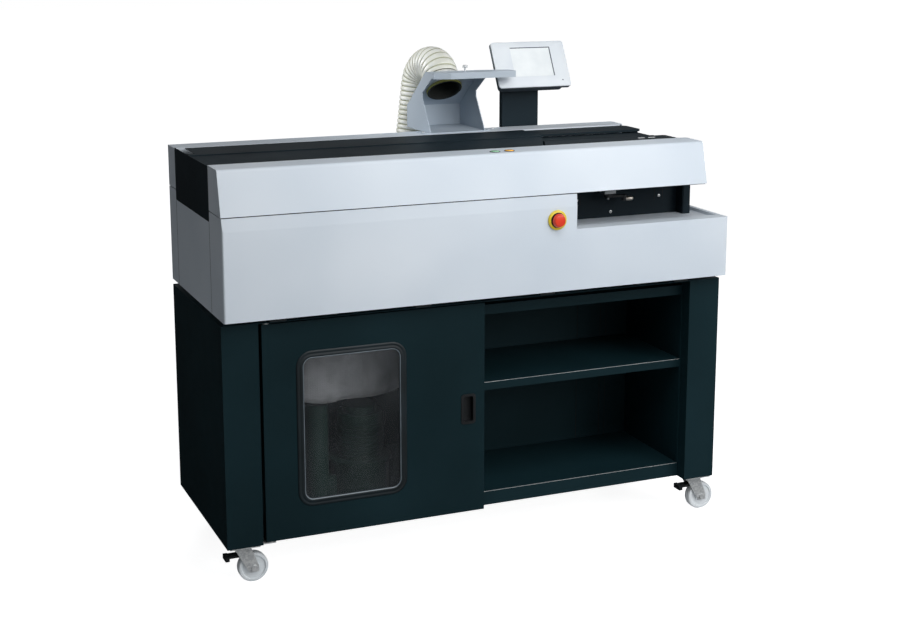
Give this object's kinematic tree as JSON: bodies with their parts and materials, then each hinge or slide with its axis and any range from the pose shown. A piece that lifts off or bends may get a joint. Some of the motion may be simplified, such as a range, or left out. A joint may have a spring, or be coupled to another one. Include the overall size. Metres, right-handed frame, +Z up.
{
  "type": "perfect binding machine",
  "caption": "Floor-standing perfect binding machine: grey body with clamp carriage, milling, gluing and nipping stations, tilting display, fume hood and hose, on a dark castered cabinet.",
  "frame": {"origin": "on the floor, under the middle of the machine's bounding box", "axes": "+X along the machine to the user's right, +Y from the user's side to the rear, +Z up"},
  "size_m": [1.369, 0.7674, 1.2525],
  "materials": {
    "grey_paint": "pale blue-grey satin powder coat",
    "base_paint": "near-black blue satin powder coat",
    "black_paint": "black fine-textured powder coat",
    "hood_paint": "light grey satin powder coat",
    "zinc_plate": "bright zinc-plated steel",
    "machined_steel": "ground and milled steel",
    "black_rubber": "matt black rubber",
    "window_sheet": "clear acrylic pane, dull grey in the dark cabinet",
    "bag_cloth": "grey woven filter cloth",
    "collector_paint": "dark green enamel",
    "hose_plastic": "off-white corrugated plastic",
    "display_plastic": "pale grey moulded plastic",
    "stop_yellow": "yellow moulded plastic",
    "stop_red": "red moulded plastic",
    "lamp_green": "translucent green button cap",
    "lamp_orange": "translucent orange button cap",
    "wheel_nylon": "white nylon",
    "black_plastic": "matt black moulded plastic"
  },
  "bodies": {
    "machine": {"side_frame_left": "base_paint", "side_frame_right": "base_paint", "base_top_panel": "base_paint", "base_floor": "base_paint", "mid_shelf": "base_paint", "bay_liner": "base_paint", "base_back_panel": "base_paint", "spacer_blocks": "black_rubber", "door_hinges": "zinc_plate", "dust_blower": "collector_paint", "dust_bag": "bag_cloth", "body_front_shell": "grey_paint", "body_rear_shell": "grey_paint", "body_end_panels": "grey_paint", "delivery_tray": "grey_paint", "recess_plate": "black_paint", "front_cover": "grey_paint", "rear_cover": "grey_paint", "left_end_panel": "black_paint", "right_end_panel": "black_paint", "cover_tables": "black_paint", "frame_plates": "machined_steel", "guide_rods": "machined_steel", "drive_belt": "black_rubber", "drive_motors": "black_paint", "glue_tank": "machined_steel", "estop_collar": "stop_yellow", "display_post": "black_paint", "hood_shell": "hood_paint", "exhaust_hose": "hose_plastic", "hose_collars": "zinc_plate", "power_inlet": "black_plastic", "screws": "zinc_plate", "caster_plates": "zinc_plate"},
    "door": {"door_panel": "base_paint", "window_gasket": "black_rubber", "window_pane": "window_sheet", "door_pull": "black_plastic"},
    "top_cover": {"top_cover": "black_paint"},
    "carriage": {"clamp_carriage": "black_paint"},
    "jaw": {"clamp_jaw": "machined_steel"},
    "drive_pulley": {"pulley_drive": "zinc_plate"},
    "idle_pulley": {"pulley_idle": "zinc_plate"},
    "cutter": {"cutter_disc": "machined_steel"},
    "roller": {"glue_roller": "machined_steel"},
    "nip_table": {"nip_table": "machined_steel"},
    "nip_jaw": {"nip_jaw": "machined_steel"},
    "estop": {"estop_head": "stop_red"},
    "start": {"start_button": "lamp_green"},
    "stop": {"stop_button": "lamp_orange"},
    "display": {"display_housing": "display_plastic"},
    "lever": {"release_lever": "black_plastic"},
    "fork_left": {"caster_fork_left": "zinc_plate"},
    "fork_right": {"caster_fork_right": "zinc_plate"},
    "wheel_fl": {"wheel_front_left": "wheel_nylon"},
    "wheel_fr": {"wheel_front_right": "wheel_nylon"},
    "wheel_rl": {"wheel_rear_left": "wheel_nylon"},
    "wheel_rr": {"wheel_rear_right": "wheel_nylon"},
    "pedal_left": {"brake_pedal_left": "black_plastic"},
    "pedal_right": {"brake_pedal_right": "black_plastic"}
  },
  "joints": [
    {"name": "door_swing", "type": "hinge", "parent": "machine", "child": "door", "pos_m": [-0.5755, -0.3207, 0.107], "axis": [0, 0, -1], "range_deg": [0, 100]},
    {"name": "top_cover_lift", "type": "hinge", "parent": "machine", "child": "top_cover", "pos_m": [-0.1795, 0.0783, 1.005], "axis": [-1, 0, 0], "range_deg": [0, 55]},
    {"name": "carriage_travel", "type": "slide", "parent": "machine", "child": "carriage", "axis": [-1, 0, 0], "range_m": [0, 0.62]},
    {"name": "jaw_clamp", "type": "slide", "parent": "carriage", "child": "jaw", "axis": [0, 1, 0], "range_m": [0, 0.0104]},
    {"name": "drive_pulley_turn", "type": "hinge", "parent": "machine", "child": "drive_pulley", "pos_m": [-0.6135, 0.0663, 0.953], "axis": [0, -1, 0], "range_deg": [0, 1800]},
    {"name": "idle_pulley_turn", "type": "hinge", "parent": "machine", "child": "idle_pulley", "pos_m": [0.5595, 0.0663, 0.953], "axis": [0, -1, 0], "range_deg": [0, 1800]},
    {"name": "cutter_spin", "type": "hinge", "parent": "machine", "child": "cutter", "pos_m": [0.111, -0.1087, 0.89], "axis": [0, 0, 1], "continuous": true},
    {"name": "roller_spin", "type": "hinge", "parent": "machine", "child": "roller", "pos_m": [-0.069, -0.1087, 0.858], "axis": [0, 1, 0], "continuous": true},
    {"name": "nip_table_lift", "type": "slide", "parent": "machine", "child": "nip_table", "axis": [0, 0, 1], "range_m": [0, 0.011]},
    {"name": "nip_jaw_close", "type": "slide", "parent": "nip_table", "child": "nip_jaw", "axis": [0, 1, 0], "range_m": [0, 0.022]},
    {"name": "estop_press", "type": "slide", "parent": "machine", "child": "estop", "axis": [0, 1, 0], "range_m": [0, 0.004], "stiffness_N_per_m": 400, "springref_m": -0.004},
    {"name": "start_press", "type": "slide", "parent": "machine", "child": "start", "axis": [0, 0, -1], "range_m": [0, 0.002], "stiffness_N_per_m": 400, "springref_m": -0.002},
    {"name": "stop_press", "type": "slide", "parent": "machine", "child": "stop", "axis": [0, 0, -1], "range_m": [0, 0.002], "stiffness_N_per_m": 400, "springref_m": -0.002},
    {"name": "display_tilt", "type": "hinge", "parent": "machine", "child": "display", "pos_m": [0.3135, 0.1823, 1.144], "axis": [1, 0, 0], "range_deg": [-12, 12]},
    {"name": "lever_turn", "type": "hinge", "parent": "machine", "child": "lever", "pos_m": [0.3725, -0.2457, 0.88], "axis": [0, 0, 1], "range_deg": [-20, 20]},
    {"name": "caster_swivel_left", "type": "hinge", "parent": "machine", "child": "fork_left", "pos_m": [-0.64, -0.2927, 0.089], "axis": [0, 0, 1], "continuous": true},
    {"name": "wheel_spin_front_left", "type": "hinge", "parent": "fork_left", "child": "wheel_fl", "pos_m": [-0.614, -0.2927, 0.0375], "axis": [0, 1, 0], "continuous": true},
    {"name": "wheel_spin_rear_left", "type": "hinge", "parent": "machine", "child": "wheel_rl", "pos_m": [-0.6, 0.1223, 0.0375], "axis": [0, 1, 0], "continuous": true},
    {"name": "brake_left", "type": "hinge", "parent": "fork_left", "child": "pedal_left", "pos_m": [-0.644, -0.2927, 0.073], "axis": [0, -1, 0], "range_deg": [0, 12]},
    {"name": "caster_swivel_right", "type": "hinge", "parent": "machine", "child": "fork_right", "pos_m": [0.621, -0.2927, 0.089], "axis": [0, 0, 1], "continuous": true},
    {"name": "wheel_spin_front_right", "type": "hinge", "parent": "fork_right", "child": "wheel_fr", "pos_m": [0.647, -0.2927, 0.0375], "axis": [0, 1, 0], "continuous": true},
    {"name": "wheel_spin_rear_right", "type": "hinge", "parent": "machine", "child": "wheel_rr", "pos_m": [0.581, 0.1223, 0.0375], "axis": [0, 1, 0], "continuous": true},
    {"name": "brake_right", "type": "hinge", "parent": "fork_right", "child": "pedal_right", "pos_m": [0.617, -0.2927, 0.073], "axis": [0, -1, 0], "range_deg": [0, 12]}
  ],
  "couplings": [
    {"joint": "drive_pulley_turn", "follows": "carriage_travel", "rad_per_m": 50},
    {"joint": "idle_pulley_turn", "follows": "carriage_travel", "rad_per_m": 50}
  ]
}
